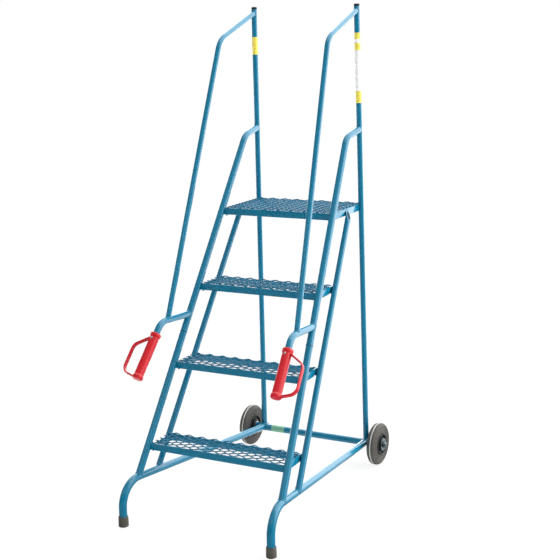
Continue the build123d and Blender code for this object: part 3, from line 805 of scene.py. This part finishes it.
def open_tube_end(name, node):
    """Painted shade for a tube's open mouth: a dark plate inset on the slanting cut at its top, standing where the
    inside of the tube is in shade.
    """
    mesh = nodes[node].data
    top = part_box(node)[1].z
    cut = [p for p in mesh.polygons if p.center.z > top - 0.05 and p.normal.z > 0.4 and abs(p.normal.y) < 0.05]
    if not cut:
        return
    normal = sum((p.normal * p.area for p in cut), Vector()).normalized()
    corners = [mesh.vertices[i].co for p in cut for i in p.vertices]
    along = Vector((0, 1, 0))
    climb = normal.cross(along).normalized()
    start = corners[0]
    flat = [((co - start).dot(along), (co - start).dot(climb)) for co in corners]
    rim = [flat[i] for i in convex_hull_2d(flat)]
    mid_a = (min(a for a, _ in rim) + max(a for a, _ in rim)) / 2
    mid_c = (min(c for _, c in rim) + max(c for _, c in rim)) / 2
    bm = bmesh.new()
    mouth = [bm.verts.new(start + along * (mid_a + (a - mid_a) * BORE_SHARE)
                          + climb * (mid_c + (c - mid_c) * BORE_SHARE) - normal * BORE_DEPTH) for a, c in rim]
    face = bm.faces.new(mouth)
    raised = bmesh.ops.extrude_face_region(bm, geom=[face])["geom"]
    lifted = [g for g in raised if isinstance(g, bmesh.types.BMVert)]
    bmesh.ops.translate(bm, vec=normal * (BORE_DEPTH + BORE_PROUD), verts=lifted)
    bmesh.ops.remove_doubles(bm, verts=bm.verts, dist=1e-6)
    piece(name, bm, "frame", painted_bore_shade)


for word, sign in SIDES:
    open_tube_end(f"rear_stile_mouth_{word}", f"rear_stile_{word}")

# ---------------------------------------------------------------- blank films
FILM_THICKNESS = 0.12 * MM
FILM_STEPS = 20


def film_wrap(name, foot, top, radius, start, end, facing, half_turn, material):
    """Blank film wrapped part of the way round a straight tube, from start to end metres along it."""
    along = (top - foot).normalized()
    ahead = Vector(facing)
    ahead = (ahead - along * ahead.dot(along)).normalized()
    first = Matrix.Rotation(-half_turn, 3, along) @ ahead * (radius + FILM_THICKNESS)
    bm = bmesh.new()
    ends = [bm.verts.new(foot + along * place + first) for place in (start, end)]
    edge = bm.edges.new(ends)
    bmesh.ops.spin(bm, geom=ends + [edge], cent=foot, axis=along, dvec=(0, 0, 0), angle=2 * half_turn,
                   steps=FILM_STEPS, use_merge=False, use_duplicate=False)
    bmesh.ops.solidify(bm, geom=bm.faces[:], thickness=FILM_THICKNESS)
    piece(name, bm, "frame", material, sharp=30.0)


FILM_HALF_TURN = math.radians(115)
FILM_FACING = (0.35, -1, 0)
CROSS_FILM = (-0.182, -0.125)
POST_FILMS = {"left": [("yellow", 1.568, 1.634, yellow_film)],
              "right": [("upper_yellow", 1.619, 1.642, yellow_film), ("pale", 1.605, 1.619, white_film),
                        ("middle_yellow", 1.579, 1.605, yellow_film), ("white", 1.430, 1.579, white_film),
                        ("lower_yellow", 1.387, 1.430, yellow_film)]}
for word, sign in SIDES:
    foot, top, radius = post_line(word, sign)
    for label, low_z, high_z, material in POST_FILMS[word]:
        film_wrap(f"film_{word}_post_{label}", foot, top, radius, low_z - foot.z, high_z - foot.z, FILM_FACING,
                  FILM_HALF_TURN, material)
cross_low, cross_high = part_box("rear_cross_tube")
cross_middle = (cross_low + cross_high) / 2
film_wrap("film_cross_tube", Vector((cross_low.x, cross_middle.y, cross_middle.z)),
          Vector((cross_high.x, cross_middle.y, cross_middle.z)), (cross_high.z - cross_low.z) / 2,
          CROSS_FILM[0] - cross_low.x, CROSS_FILM[1] - cross_low.x, (0, -1, 0.6), FILM_HALF_TURN,
          green_film)


# ---------------------------------------------------------------- floor, light and camera
BACK_LIGHT = 3.0
LOOKING_LEVEL = (-0.472, 0.882, 0.0)
FLOOR_SHADE = 0.86
FLOOR_NEAR_GLOW = 0.84
FLOOR_FRONT_SHADE = 0.15


def floor_material():
    """Pale floor: a soft shadow near the stand, plain white far away, lit sweep behind and dim room in front."""
    material = bpy.data.materials.new("pale_floor")
    material.use_nodes = True
    tree = material.node_tree
    shader = tree.nodes["Principled BSDF"]
    shader.inputs["Roughness"].default_value = 0.9
    shader.inputs["Specular IOR Level"].default_value = 0.1
    place = add(tree, "ShaderNodeTexCoord").outputs["Object"]
    path = add(tree, "ShaderNodeLightPath")
    away = add(tree, "ShaderNodeVectorMath", {0: place}, operation="LENGTH").outputs["Value"]
    depth = add(tree, "ShaderNodeVectorMath", {0: place, 1: LOOKING_LEVEL},
                operation="DOT_PRODUCT").outputs["Value"]
    in_front = spread(tree, depth, -0.3, 0.6, FLOOR_FRONT_SHADE, 1.0)
    dimmed = spread(tree, path.outputs["Is Glossy Ray"], 0.0, 1.0, 1.0, in_front)
    tree.links.new(add(tree, "ShaderNodeMath", {0: FLOOR_SHADE, 1: dimmed}, operation="MULTIPLY").outputs[0],
                   shader.inputs["Base Color"])
    seen_share = spread(tree, path.outputs["Is Camera Ray"], 0.0, 1.0, 0.0,
                        spread(tree, away, 0.5, 1.8, FLOOR_NEAR_GLOW, 1.0))
    sweep_share = spread(tree, path.outputs["Is Glossy Ray"], 0.0, 1.0, 0.0,
                         spread(tree, depth, 0.5, 2.0, 0.0, 1.0))
    share = add(tree, "ShaderNodeMath", {0: seen_share, 1: sweep_share}, operation="ADD").outputs[0]
    glow = add(tree, "ShaderNodeEmission", {"Color": (1, 1, 1, 1)})
    tree.links.new(spread(tree, path.outputs["Is Glossy Ray"], 0.0, 1.0, 1.0, BACK_LIGHT),
                   glow.inputs["Strength"])
    mix = add(tree, "ShaderNodeMixShader", {"Fac": share})
    tree.links.new(shader.outputs["BSDF"], mix.inputs[1])
    tree.links.new(glow.outputs["Emission"], mix.inputs[2])
    tree.links.new(mix.outputs["Shader"], tree.nodes["Material Output"].inputs["Surface"])
    return material


FLOOR_HALF = 30.0
floor_mesh = bmesh.new()
bmesh.ops.create_grid(floor_mesh, x_segments=1, y_segments=1, size=FLOOR_HALF)
floor_data = bpy.data.meshes.new("floor")
floor_mesh.to_mesh(floor_data)
floor_mesh.free()
floor_data.materials.append(floor_material())
floor = bpy.data.objects.new("floor", floor_data)
bpy.context.scene.collection.objects.link(floor)

world = bpy.data.worlds.new("studio")
world.use_nodes = True
bpy.context.scene.world = world
air = world.node_tree
backdrop = air.nodes["Background"]
backdrop.inputs["Color"].default_value = (1, 1, 1, 1)
ROOM_LIGHT = 0.06
TOP_LIGHT = 0.6
BRIGHT_SIDE = (0.3, 0.94, 0.16)
heading = add(air, "ShaderNodeTexCoord").outputs["Generated"]
behind = add(air, "ShaderNodeVectorMath", {0: heading, 1: BRIGHT_SIDE},
             operation="DOT_PRODUCT").outputs["Value"]
overhead = add(air, "ShaderNodeVectorMath", {0: heading, 1: (0, 0, 1)},
               operation="DOT_PRODUCT").outputs["Value"]
glow_behind = spread(air, behind, -0.05, 0.6, 0.0, BACK_LIGHT)
glow_above = spread(air, overhead, 0.2, 1.0, 0.0, TOP_LIGHT)
both = add(air, "ShaderNodeMath", {0: glow_behind, 1: glow_above}, operation="ADD").outputs[0]
room = add(air, "ShaderNodeMath", {0: both, 1: ROOM_LIGHT}, operation="ADD").outputs[0]
seen_directly = add(air, "ShaderNodeLightPath").outputs["Is Camera Ray"]
shown = add(air, "ShaderNodeMix", {0: seen_directly, 2: room, 3: 1.0})
air.links.new(shown.outputs[0], backdrop.inputs["Strength"])


def soft_lamp(name, place, aim, width, power):
    """Square area lamp that faces its aim."""
    data = bpy.data.lights.new(name, "AREA")
    data.shape = "SQUARE"
    data.size = width
    data.energy = power
    lamp = bpy.data.objects.new(name, data)
    lamp.location = place
    lamp.rotation_mode = "QUATERNION"
    lamp.rotation_quaternion = (Vector(aim) - Vector(place)).to_track_quat("-Z", "Y")
    bpy.context.scene.collection.objects.link(lamp)


middle = (cad_box[0] + cad_box[1]) / 2
soft_lamp("key_lamp", middle + Vector((3.0, 0.9, 1.2)), middle, 2.0, 24.0)
soft_lamp("left_lamp", middle + Vector((-2.5, -2.0, 0.8)), middle, 1.2, 4.0)
soft_lamp("front_lamp", middle + Vector((0.8, -3.2, 1.6)), middle, 0.9, 5.5)
soft_lamp("top_lamp", middle + Vector((0.2, -0.2, 3.0)), middle, 1.4, 14.0)

CAMERA_PLACE = Vector((2.0186, -3.5894, 1.6933))
CAMERA_YAW = math.radians(28.16)
CAMERA_DIP = math.radians(10.29)
CAMERA_ROLL = math.radians(-1.607)
CAMERA_LENS = 76.234
CAMERA_SHIFT = -0.0788
lens = bpy.data.cameras.new("camera")
lens.lens = CAMERA_LENS
lens.shift_y = CAMERA_SHIFT
camera = bpy.data.objects.new("camera", lens)
looking = Vector((-math.sin(CAMERA_YAW) * math.cos(CAMERA_DIP), math.cos(CAMERA_YAW) * math.cos(CAMERA_DIP),
                  -math.sin(CAMERA_DIP)))
level = Vector((math.cos(CAMERA_YAW), math.sin(CAMERA_YAW), 0))
upward = level.cross(looking)
across = math.cos(CAMERA_ROLL) * level + math.sin(CAMERA_ROLL) * upward
above = -math.sin(CAMERA_ROLL) * level + math.cos(CAMERA_ROLL) * upward
camera.matrix_world = Matrix.Translation(CAMERA_PLACE) @ Matrix((across, above, -looking)).transposed().to_4x4()
bpy.context.scene.collection.objects.link(camera)
bpy.context.scene.camera = camera
bpy.context.scene.view_settings.view_transform = "Standard"
